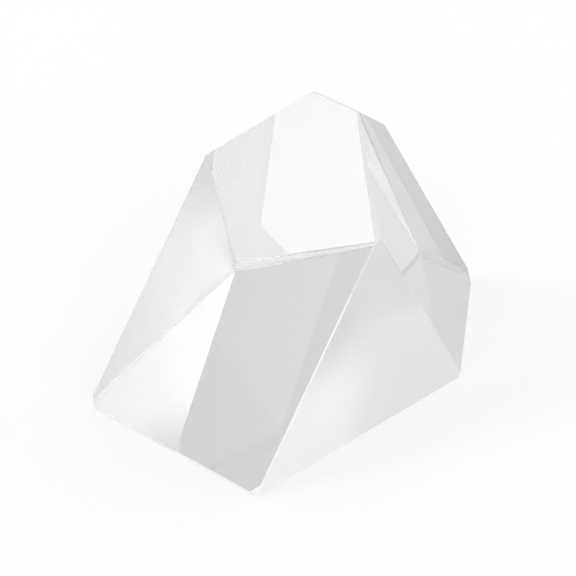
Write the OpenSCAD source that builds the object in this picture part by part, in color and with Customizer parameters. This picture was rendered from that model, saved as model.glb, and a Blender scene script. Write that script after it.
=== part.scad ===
// Schmidt roof prism: one solid block of clear optical glass.
// The entrance and exit faces meet at the front edge, and a right-angled roof closes the back.
// The block rests on its exit face at z = 0, with X across and Y from the front edge to the roof.
// The origin is where the optical axis leaves the exit face. Sizes are in millimetres.

/* [Glass block] */
// Width between the two ground side walls
width = 24; // [20:0.5:30]
// Angle between the entrance face and the exit face, in degrees
front_angle = 48; // [45:0.5:50]
// Length of a side wall along either polished face, from the front edge to the roof
wall_length = 26.9; // [24:0.1:32]
// Length taken off the tip of the entrance face by the end cut, which is square to that face
end_cut = 3.5; // [2:0.1:6]
// Length taken off the exit face and off the ridge at the nose, where the roof comes to a point
nose_cut = 1.4; // [0.8:0.1:2]

/* [Ground bevels] */
// Bevel width on the front edge
front_bevel = 0.3; // [0.1:0.05:0.5]
// Bevel width where a side wall meets a polished face
wall_bevel = 0.3; // [0.1:0.05:0.5]
// Bevel width where a side wall meets the roof
hip_bevel = 0.25; // [0.1:0.05:0.5]
// Bevel width where the roof meets a polished face, at the side wall
eave_bevel_wall = 0.7; // [0.3:0.05:1]
// Bevel width where the roof meets a polished face, at the ridge
eave_bevel_ridge = 0.3; // [0.1:0.05:0.6]
// Bevel width around the end cut
end_bevel = 0.2; // [0.1:0.05:0.4]

/* [Ground corners] */
// Length ground off each edge at the two ends of the front edge
front_corner = 1.6; // [0.8:0.1:3]
// Length ground off each edge at the corners where a side wall meets the roof
wall_corner = 0.8; // [0.6:0.05:1.2]
// Length ground off each edge at the two corners of the end cut on the entrance face
end_corner = 0.6; // [0.4:0.05:1]

/* [Hidden] */

half_angle = front_angle / 2;
half_width = width / 2;
// A 45 degree slope each side makes the roof a right angle
roof_slope = 45;
// Distance from the front edge to the ridge, square to the ridge
ridge_distance = wall_length * cos(half_angle) + half_width * tan(roof_slope);
// Length of a polished face up to its uncut tip on the ridge
tip_length = ridge_distance / cos(half_angle);
// Distance from the front edge to the optical axis, along either polished face
axis_distance = ridge_distance * cos(3 * half_angle);
// Side of a cube that is larger than the block
reach = 3 * tip_length;

// Directions in the middle plane, each square to X
entrance_way = [0, cos(front_angle), sin(front_angle)];
exit_way = [0, 1, 0];
ridge_way = [0, -sin(half_angle), cos(half_angle)];
across = [1, 0, 0];

// Outward normals of the faces; the roof and the wall are those on the +X side
entrance_normal = [0, -sin(front_angle), cos(front_angle)];
exit_normal = [0, 0, -1];
wall_normal = across;
roof_normal = unit(across + [0, cos(half_angle), sin(half_angle)]);
end_normal = entrance_way;

// Corners of the uncut block on the +X side, with the front edge on the X axis
front = half_width * across;
wall_top = front + wall_length * entrance_way;
wall_foot = front + wall_length * exit_way;
end_side = end_cut * cos(half_angle) * across + (tip_length - end_cut) * entrance_way;
nose_side = nose_cut * cos(half_angle) * across + (tip_length - nose_cut) * exit_way;
// Ends of the ridge
ridge_top = tip_length * entrance_way - end_cut / sin(half_angle) * ridge_way;
ridge_foot = tip_length * exit_way + nose_cut * ridge_way;

function unit(v) = v / norm(v);
function mirrored(p) = [-p.x, p.y, p.z];
function in_middle_plane(p) = [p.y, p.z];
// Direction in a face, away from the edge that it shares with a second face
function inward(face, other, edge) =
    let (way = cross(face, edge)) way * other < 0 ? way : -way;
// Distance from an edge to its bevel along a face, for a bevel one unit wide
function setback(face, other) = 1 / (2 * sqrt((1 + face * other) / 2));

// Everything beyond a plane
module beyond(point, normal) {
    tilt = acos(normal.z);
    turn = atan2(normal.y, normal.x);
    translate(point)
        rotate([0, tilt, turn])
            translate([-reach / 2, -reach / 2, 0])
                cube(reach);
}

// Flat bevel on the edge between two faces, with its width at each end of the edge
module bevel(from, to, face, other, width_from, width_to) {
    edge = unit(to - from);
    way = inward(face, other, edge);
    other_way = inward(other, face, edge);
    start = from + way * setback(face, other) * width_from;
    end = to + way * setback(face, other) * width_to;
    normal = unit(cross(other_way - way, end - start));
    beyond(start, normal * sign(normal * (face + other)));
}

// Flat facet on a corner, the same length along each of its three edges
module corner_facet(corner, neighbours, length) {
    points = [for (end = neighbours) corner + length * unit(end - corner)];
    normal = unit(cross(points[1] - points[0], points[2] - points[0]));
    beyond(points[0], normal * sign(normal * (corner - points[0])));
}

// Side profile of the block, from the front edge round to the end cut; its back runs past the ridge
module wedge() {
    corners = [front, nose_side, 2 * ridge_foot - nose_side, 2 * ridge_top - end_side, end_side];
    profile = [for (corner = corners) in_middle_plane(corner)];
    rotate([90, 0, 90])
        linear_extrude(reach, center = true)
            polygon(profile);
}

// Two side walls and the right-angled roof, as one column along the ridge
module roofed_column() {
    eave = ridge_distance - half_width * tan(roof_slope);
    outline = [
        [-half_width, -reach],
        [half_width, -reach],
        [half_width, eave],
        [0, ridge_distance],
        [-half_width, eave]
    ];
    rotate([half_angle, 0, 0])
        linear_extrude(reach, center = true)
            polygon(outline);
}

// Bevels and corner facets on the +X side
module side_bevels() {
    bevel(front, wall_top, entrance_normal, wall_normal, wall_bevel, wall_bevel);
    bevel(front, wall_foot, exit_normal, wall_normal, wall_bevel, wall_bevel);
    bevel(wall_top, wall_foot, wall_normal, roof_normal, hip_bevel, hip_bevel);
    bevel(wall_top, end_side, entrance_normal, roof_normal, eave_bevel_wall, eave_bevel_ridge);
    bevel(wall_foot, nose_side, exit_normal, roof_normal, eave_bevel_wall, eave_bevel_ridge);
    bevel(end_side, ridge_top, end_normal, roof_normal, end_bevel, end_bevel);
    corner_facet(front, [mirrored(front), wall_top, wall_foot], front_corner);
    corner_facet(wall_top, [front, wall_foot, end_side], wall_corner);
    corner_facet(wall_foot, [front, wall_top, nose_side], wall_corner);
    corner_facet(end_side, [mirrored(end_side), wall_top, ridge_top], end_corner);
}

// Bevels on the edges that cross the middle plane; the ridge stays sharp
module middle_bevels() {
    bevel(mirrored(front), front, entrance_normal, exit_normal, front_bevel, front_bevel);
    bevel(mirrored(end_side), end_side, entrance_normal, end_normal, end_bevel, end_bevel);
}

// The glass block, moved so that the optical axis leaves it at the origin
module prism_block() {
    color([0.88, 0.91, 0.91, 0.6])
        translate(-axis_distance * exit_way)
            difference() {
                intersection() {
                    wedge();
                    roofed_column();
                }
                middle_bevels();
                side_bevels();
                mirror(across) side_bevels();
            }
}

prism_block();
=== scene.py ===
import math
import random

import bmesh
import bpy
from mathutils import Matrix, Vector


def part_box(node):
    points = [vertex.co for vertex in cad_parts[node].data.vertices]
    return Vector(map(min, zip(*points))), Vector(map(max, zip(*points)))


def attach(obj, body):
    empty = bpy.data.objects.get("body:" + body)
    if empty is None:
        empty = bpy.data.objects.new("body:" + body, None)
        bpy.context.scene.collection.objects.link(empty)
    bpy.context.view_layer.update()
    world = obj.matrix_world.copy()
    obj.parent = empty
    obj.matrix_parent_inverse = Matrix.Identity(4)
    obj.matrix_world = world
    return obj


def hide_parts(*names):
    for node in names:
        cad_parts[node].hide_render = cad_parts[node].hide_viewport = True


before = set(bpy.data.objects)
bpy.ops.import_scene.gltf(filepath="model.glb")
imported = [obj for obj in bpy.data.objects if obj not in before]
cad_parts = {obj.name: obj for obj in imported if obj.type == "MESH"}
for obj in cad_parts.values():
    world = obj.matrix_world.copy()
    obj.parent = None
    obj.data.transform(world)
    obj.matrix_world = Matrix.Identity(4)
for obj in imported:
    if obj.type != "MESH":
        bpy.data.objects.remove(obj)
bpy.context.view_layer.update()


# Prism block
# A Schmidt roof prism: one block of clear crown glass, sawn, then ground and polished flat by flat.
# Entrance, exit and roof faces are polished; walls, end cut, nose, corners and most bevels stay ground.
MM = 0.001
low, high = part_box("prism_block")
half_width = high.x
front_angle = math.radians(48)
half_angle = front_angle / 2
wall_length = 26.9 * MM
end_cut = 3.5 * MM
nose_cut = 1.4 * MM
ridge_distance = wall_length * math.cos(half_angle) + half_width
tip_length = ridge_distance / math.cos(half_angle)
axis_distance = ridge_distance * math.cos(3 * half_angle)

across = Vector((1, 0, 0))
exit_way = Vector((0, 1, 0))
entrance_way = Vector((0, math.cos(front_angle), math.sin(front_angle)))
ridge_way = Vector((0, -math.sin(half_angle), math.cos(half_angle)))
entrance_normal = Vector((0, -math.sin(front_angle), math.cos(front_angle)))
exit_normal = Vector((0, 0, -1))
roof_rise = Vector((0, math.cos(half_angle), math.sin(half_angle)))
front_edge = -axis_distance * exit_way
ridge_top = front_edge + tip_length * entrance_way - end_cut / math.sin(half_angle) * ridge_way
nose_ridge = front_edge + tip_length * exit_way + nose_cut * ridge_way
nose_way = nose_ridge - front_edge - (tip_length - nose_cut) * exit_way
nose_normal = nose_way.cross(across).normalized()

# The finishes, in the order of the materials that the block is given below
POLISHED, GROUND, BEVEL = 0, 1, 2
# The sawn blank, large enough for every flat to cut it
blank_side = 6 * tip_length
cut_tolerance = 1e-7
block = bmesh.new()
bmesh.ops.create_cube(block, size=blank_side)


# A flat: what lies beyond its plane is ground away, and the new face gets its finish
def grind(point, normal, finish):
    cut = bmesh.ops.bisect_plane(
        block, geom=block.verts[:] + block.edges[:] + block.faces[:],
        dist=cut_tolerance, plane_co=point, plane_no=normal, clear_outer=True)
    rim = [part for part in cut["geom_cut"] if isinstance(part, bmesh.types.BMEdge)]
    for face in bmesh.ops.holes_fill(block, edges=rim)["faces"]:
        face.material_index = finish


# The direction in a face that leads squarely away from its edge with another face
def inward(face, other, edge):
    way = face.cross(edge)
    return way if way.dot(other) < 0 else -way


# A bevel takes as much off one face as off the other, and its widths are those of the new flat
def grind_bevel(start, end, face, other, widths, finish=BEVEL):
    start_width, end_width = widths
    edge = (end - start).normalized()
    way = inward(face, other, edge)
    other_way = inward(other, face, edge)
    setback = 1 / (2 * math.sqrt((1 + face.dot(other)) / 2))
    start_point = start + way * setback * (start_width * MM)
    end_point = end + way * setback * (end_width * MM)
    normal = (other_way - way).cross(end_point - start_point).normalized()
    grind(start_point, normal if normal.dot(face + other) > 0 else -normal, finish)


# A corner facet goes through three points, one on each edge at its own length from the corner
def grind_corner(corner, neighbours, lengths):
    points = [corner + (end - corner).normalized() * (length * MM)
              for end, length in zip(neighbours, lengths)]
    normal = (points[1] - points[0]).cross(points[2] - points[0]).normalized()
    grind(points[0], normal if normal.dot(corner - points[0]) > 0 else -normal, GROUND)


# Flats in the order they are worked: the two polished faces, the roof, then the ground walls and ends
grind(front_edge, entrance_normal, POLISHED)
grind(front_edge, exit_normal, POLISHED)
for side in (1, -1):
    grind(ridge_top, (side * across + roof_rise).normalized(), POLISHED)
for side in (1, -1):
    grind(side * half_width * across, side * across, GROUND)
grind(ridge_top, entrance_way, GROUND)
grind(nose_ridge, nose_normal, GROUND)

# Bevels are ground by hand, so some differ between the right side, 1, and the left side, -1
# Each has its widths at its two ends, in millimetres, and the eaves are widest at the side wall
entrance_wall_bevel = (0.15, 0.15)
exit_wall_bevels = {1: (0.25, 0.25), -1: (0.35, 0.35)}
hip_bevels = {1: (0.25, 0.25), -1: (0.06, 0.06)}
entrance_eave_bevels = {1: (0.7, 0.3), -1: (0.3, 0.25)}
exit_eave_bevel = (0.7, 0.3)
end_cut_bevel = (0.2, 0.2)
front_bevel = (0.3, 0.3)
# Lengths ground off the ends of the front edge: along that edge, the entrance face and the exit face
front_corners = {1: (1.2, 1.45, 0.5), -1: (1.35, 1.35, 1.35)}
# Lengths ground off at the top of the side wall: along the entrance face's side, the hip and the eave
top_corners = {1: (0.8, 0.8, 0.8), -1: (0.2, 4.0, 1.05)}
# Lengths ground off at the foot of the side wall, and where the end cut meets the eave
foot_corner = (0.6, 0.6, 0.6)
end_corner = (0.55, 0.55, 0.55)
for side in (1, -1):
    wall_normal = side * across
    roof_normal = (wall_normal + roof_rise).normalized()
    front = front_edge + half_width * wall_normal
    other_front = front_edge - half_width * wall_normal
    wall_top = front + wall_length * entrance_way
    wall_foot = front + wall_length * exit_way
    end_side = (front_edge + end_cut * math.cos(half_angle) * wall_normal
                + (tip_length - end_cut) * entrance_way)
    other_end = end_side - 2 * end_side.x * across
    nose_side = (front_edge + nose_cut * math.cos(half_angle) * wall_normal
                 + (tip_length - nose_cut) * exit_way)
    grind_bevel(front, wall_top, entrance_normal, wall_normal, entrance_wall_bevel)
    grind_bevel(front, wall_foot, exit_normal, wall_normal, exit_wall_bevels[side])
    grind_bevel(wall_top, wall_foot, wall_normal, roof_normal, hip_bevels[side])
    grind_bevel(wall_top, end_side, entrance_normal, roof_normal, entrance_eave_bevels[side])
    grind_bevel(wall_foot, nose_side, exit_normal, roof_normal, exit_eave_bevel)
    grind_bevel(end_side, ridge_top, entrance_way, roof_normal, end_cut_bevel)
    grind_corner(front, (other_front, wall_top, wall_foot), front_corners[side])
    grind_corner(wall_top, (front, wall_foot, end_side), top_corners[side])
    grind_corner(wall_foot, (front, wall_top, nose_side), foot_corner)
    grind_corner(end_side, (other_end, wall_top, ridge_top), end_corner)
# The sharp front edge is only broken, with a narrow flat as clear as the faces beside it
grind_bevel(other_front, front, entrance_normal, exit_normal, front_bevel, POLISHED)
grind_bevel(other_end, end_side, entrance_normal, entrance_way, end_cut_bevel)

# Fine chips where a ground bevel breaks into the entrance face, up to about a tenth of a millimetre deep
random.seed(48)
chip_pitch = 0.35 * MM
chip_share = 0.03
chip_depth = 0.12 * MM
rim_wander = 0.004 * MM
same_way = 0.999
ragged = [edge for edge in block.edges
          if sorted(face.material_index for face in edge.link_faces) == [POLISHED, BEVEL]
          and max(face.normal.dot(entrance_normal) for face in edge.link_faces) > same_way]
for edge in ragged:
    polished = next(face for face in edge.link_faces if face.material_index == POLISHED)
    along = edge.verts[1].co - edge.verts[0].co
    into_face = polished.normal.cross(along).normalized()
    if into_face.dot(polished.calc_center_median() - edge.verts[0].co) < 0:
        into_face.negate()
    stretches = int(along.length / chip_pitch)
    if stretches < 2:
        continue
    split = bmesh.ops.bisect_edges(block, edges=[edge], cuts=stretches - 1)
    for vert in split["geom_split"]:
        if isinstance(vert, bmesh.types.BMVert):
            chip = chip_depth * random.random() ** 2 if random.random() < chip_share else 0
            vert.co += into_face * (rim_wander * random.random() + chip)

bmesh.ops.recalc_face_normals(block, faces=block.faces)
mesh = bpy.data.meshes.new("prism_glass")
block.to_mesh(mesh)
block.free()
prism = bpy.data.objects.new("prism_glass", mesh)
bpy.context.scene.collection.objects.link(prism)


def linear(hex_colour):
    values = [int(hex_colour[i:i + 2], 16) / 255 for i in (1, 3, 5)]
    return [v / 12.92 if v <= 0.04045 else ((v + 0.055) / 1.055) ** 2.4 for v in values] + [1]


def add_node(tree, kind, sockets={}, **settings):
    made = tree.nodes.new(kind)
    for name, value in settings.items():
        setattr(made, name, value)
    for key, value in sockets.items():
        if isinstance(value, bpy.types.NodeSocket):
            tree.links.new(value, made.inputs[key])
        else:
            made.inputs[key].default_value = value
    return made


def empty_material(name):
    made = bpy.data.materials.new(name)
    made.use_nodes = True
    made.node_tree.nodes.clear()
    return made


# Pitch-polished crown glass: clear and colourless, with the faintest film of dust
# The specks of the film are drawn coarser than real dust, so that they can show
crown_index = 1.5168
dust_size = 0.5 * MM
dust_start, dust_full = 0.68, 0.82
dust_roughness = 0.012
polished_glass = empty_material("polished_crown_glass")
tree = polished_glass.node_tree
where = add_node(tree, "ShaderNodeTexCoord").outputs["Object"]
dust = add_node(tree, "ShaderNodeTexNoise", {"Vector": where, "Scale": 1 / dust_size, "Detail": 3})
film = add_node(tree, "ShaderNodeMapRange", {
    "Value": dust.outputs["Fac"], "From Min": dust_start, "From Max": dust_full,
    "To Min": 0.0, "To Max": dust_roughness})
shader = add_node(tree, "ShaderNodeBsdfPrincipled", {
    "Base Color": linear("#ffffff"), "IOR": crown_index, "Transmission Weight": 1.0,
    "Roughness": film.outputs["Result"]})
add_node(tree, "ShaderNodeOutputMaterial", {"Surface": shader.outputs["BSDF"]})

# Fine-ground crown glass: matt from loose abrasive, in slightly uneven patches from the lap
# The grit of walls and bevels is drawn coarser than the real abrasive, so that it can show
patch_size = 5 * MM
wall_grit = 0.15 * MM
wall_grit_depth = 0.01 * MM
noise_low, noise_high = 0.3, 0.7
wall_smoothest, wall_roughest = 0.46, 0.52
ground_glass = empty_material("ground_crown_glass")
tree = ground_glass.node_tree
where = add_node(tree, "ShaderNodeTexCoord").outputs["Object"]
patches = add_node(tree, "ShaderNodeTexNoise", {"Vector": where, "Scale": 1 / patch_size, "Detail": 4})
grit = add_node(tree, "ShaderNodeTexNoise", {"Vector": where, "Scale": 1 / wall_grit, "Detail": 2})
matt = add_node(tree, "ShaderNodeMapRange", {
    "Value": patches.outputs["Fac"], "From Min": noise_low, "From Max": noise_high,
    "To Min": wall_smoothest, "To Max": wall_roughest})
relief = add_node(tree, "ShaderNodeBump", {
    "Height": grit.outputs["Fac"], "Strength": 0.05, "Distance": wall_grit_depth})
shader = add_node(tree, "ShaderNodeBsdfPrincipled", {
    "Base Color": linear("#ffffff"), "IOR": crown_index, "Transmission Weight": 1.0,
    "Roughness": matt.outputs["Result"], "Normal": relief.outputs["Normal"]})
add_node(tree, "ShaderNodeOutputMaterial", {"Surface": shader.outputs["BSDF"]})

# Hand-ground bevels: smoother than the walls and a little clearer, whitened by bruises from the wheel
bevel_grit = 0.2 * MM
bevel_grit_depth = 0.02 * MM
bevel_smoothest, bevel_roughest = 0.3, 0.36
bevel_clear_share = 0.8
bevel_glass = empty_material("bevel_ground_glass")
tree = bevel_glass.node_tree
where = add_node(tree, "ShaderNodeTexCoord").outputs["Object"]
grit = add_node(tree, "ShaderNodeTexNoise", {"Vector": where, "Scale": 1 / bevel_grit, "Detail": 3})
matt = add_node(tree, "ShaderNodeMapRange", {
    "Value": grit.outputs["Fac"], "From Min": noise_low, "From Max": noise_high,
    "To Min": bevel_smoothest, "To Max": bevel_roughest})
relief = add_node(tree, "ShaderNodeBump", {
    "Height": grit.outputs["Fac"], "Strength": 0.1, "Distance": bevel_grit_depth})
shader = add_node(tree, "ShaderNodeBsdfPrincipled", {
    "Base Color": linear("#ffffff"), "IOR": crown_index, "Transmission Weight": bevel_clear_share,
    "Roughness": matt.outputs["Result"], "Normal": relief.outputs["Normal"]})
add_node(tree, "ShaderNodeOutputMaterial", {"Surface": shader.outputs["BSDF"]})

for finish in (polished_glass, ground_glass, bevel_glass):
    mesh.materials.append(finish)
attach(prism, "root")
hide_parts("prism_block")


# Studio
# A plain white table top in a pale room, with soft panels round the prism. In the glass the top shows
# painted light:
# a painted glow, brightest seen straight on, and a painted sheen that lifts it again at a glancing
# angle.
table_side = 3.0
table_gap = 0.02 * MM
table_mesh = bpy.data.meshes.new("table_top")
top = bmesh.new()
bmesh.ops.create_grid(top, x_segments=1, y_segments=1, size=table_side / 2)
bmesh.ops.translate(top, verts=top.verts, vec=Vector((0, 0, low.z - table_gap)))
top.to_mesh(table_mesh)
top.free()
table = bpy.data.objects.new("table_top", table_mesh)
bpy.context.scene.collection.objects.link(table)

# The glow that the camera sees, and the painted glows that the glass sees at three slants of the table
# top
table_lift = 0.5
steep_lift, shallow_lift, grazing_lift = 0.5, 0.21, 0.32
# Where one glow gives way to the next, from 0 straight on to 1 along the table top
steep_end, shallow_start = 0.2, 0.6
shallow_end, grazing_start = 0.66, 0.74
table_white = empty_material("table_white")
tree = table_white.node_tree
paper = add_node(tree, "ShaderNodeBsdfDiffuse", {"Color": linear("#bebebe")})
path = add_node(tree, "ShaderNodeLightPath")
in_glass = add_node(tree, "ShaderNodeMath", {
    0: path.outputs["Is Glossy Ray"], 1: path.outputs["Is Transmission Ray"]}, operation="MAXIMUM")
# The painted glow and painted sheen follow the slant at which a glass ray meets the top, not any lamp
slant = add_node(tree, "ShaderNodeLayerWeight", {"Blend": 0.5})
painted_steep_glow = add_node(tree, "ShaderNodeMapRange", {
    "Value": slant.outputs["Facing"], "From Min": steep_end, "From Max": shallow_start,
    "To Min": steep_lift, "To Max": shallow_lift}, interpolation_type="SMOOTHSTEP")
painted_glow_and_sheen = add_node(tree, "ShaderNodeMapRange", {
    "Value": slant.outputs["Facing"], "From Min": shallow_end, "From Max": grazing_start,
    "To Min": painted_steep_glow.outputs["Result"], "To Max": grazing_lift})
glass_painted_glow = add_node(tree, "ShaderNodeMapRange", {
    "Value": in_glass.outputs[0], "To Max": painted_glow_and_sheen.outputs["Result"]})
lift = add_node(tree, "ShaderNodeMapRange", {
    "Value": path.outputs["Is Camera Ray"], "To Min": glass_painted_glow.outputs["Result"], "To Max": table_lift})
glow = add_node(tree, "ShaderNodeEmission", {"Strength": lift.outputs["Result"]})
both = add_node(tree, "ShaderNodeAddShader", {0: paper.outputs[0], 1: glow.outputs[0]})
add_node(tree, "ShaderNodeOutputMaterial", {"Surface": both.outputs[0]})
table_mesh.materials.append(table_white)

room_grey = 0.75
# Soft panels: direction, half-angles of the even middle and of the faded rim in degrees, brightness
panels = [
    ((-0.49, -0.62, 0.61), 7, 16, 3.7),
    ((0.60, -0.60, 0.50), 15, 35, 1.6),
    ((1.00, 0.10, 0.30), 15, 35, 0.8),
    ((0.50, 0.80, 0.30), 15, 38, 1.05),
    ((-0.60, 0.75, 0.25), 15, 38, 0.8),
    ((-0.80, 0.10, 0.75), 12, 30, 0.2),
    ((-1.00, -0.10, 0.00), 12, 35, 0.2),
]
room = bpy.data.worlds.new("room")
bpy.context.scene.world = room
room.use_nodes = True
tree = room.node_tree
tree.nodes.clear()
where = add_node(tree, "ShaderNodeTexCoord").outputs["Generated"]
total = add_node(tree, "ShaderNodeValue").outputs[0]
total.default_value = room_grey
for way, middle, rim, brightness in panels:
    facing = add_node(tree, "ShaderNodeVectorMath", {0: where, 1: Vector(way).normalized()},
                      operation="DOT_PRODUCT")
    panel = add_node(tree, "ShaderNodeMapRange", {
        "Value": facing.outputs["Value"], "From Min": math.cos(math.radians(rim)),
        "From Max": math.cos(math.radians(middle)), "To Max": brightness},
        interpolation_type="SMOOTHSTEP")
    added = add_node(tree, "ShaderNodeMath", {0: total, 1: panel.outputs["Result"]}, operation="ADD")
    total = added.outputs[0]
light = add_node(tree, "ShaderNodeBackground", {"Strength": total})
add_node(tree, "ShaderNodeOutputWorld", {"Surface": light.outputs[0]})


# Camera
# A long lens from above and to the right of the front edge, a little out of level.
aim = Vector((-1.711, 6.543, 8.860)) * MM
azimuth, elevation, roll = math.radians(50.37), math.radians(31.79), math.radians(-5.82)
distance = 476.5 * MM
back = Vector((math.sin(azimuth) * math.cos(elevation), -math.cos(azimuth) * math.cos(elevation),
               math.sin(elevation)))
lens = bpy.data.cameras.new("camera")
lens.sensor_width = 36
lens.lens = 312.5
camera = bpy.data.objects.new("camera", lens)
camera.matrix_world = (Matrix.Translation(aim + back * distance)
                       @ back.to_track_quat("Z", "Y").to_matrix().to_4x4()
                       @ Matrix.Rotation(roll, 4, "Z"))
bpy.context.scene.collection.objects.link(camera)
bpy.context.scene.camera = camera
bpy.context.scene.view_settings.view_transform = "Standard"
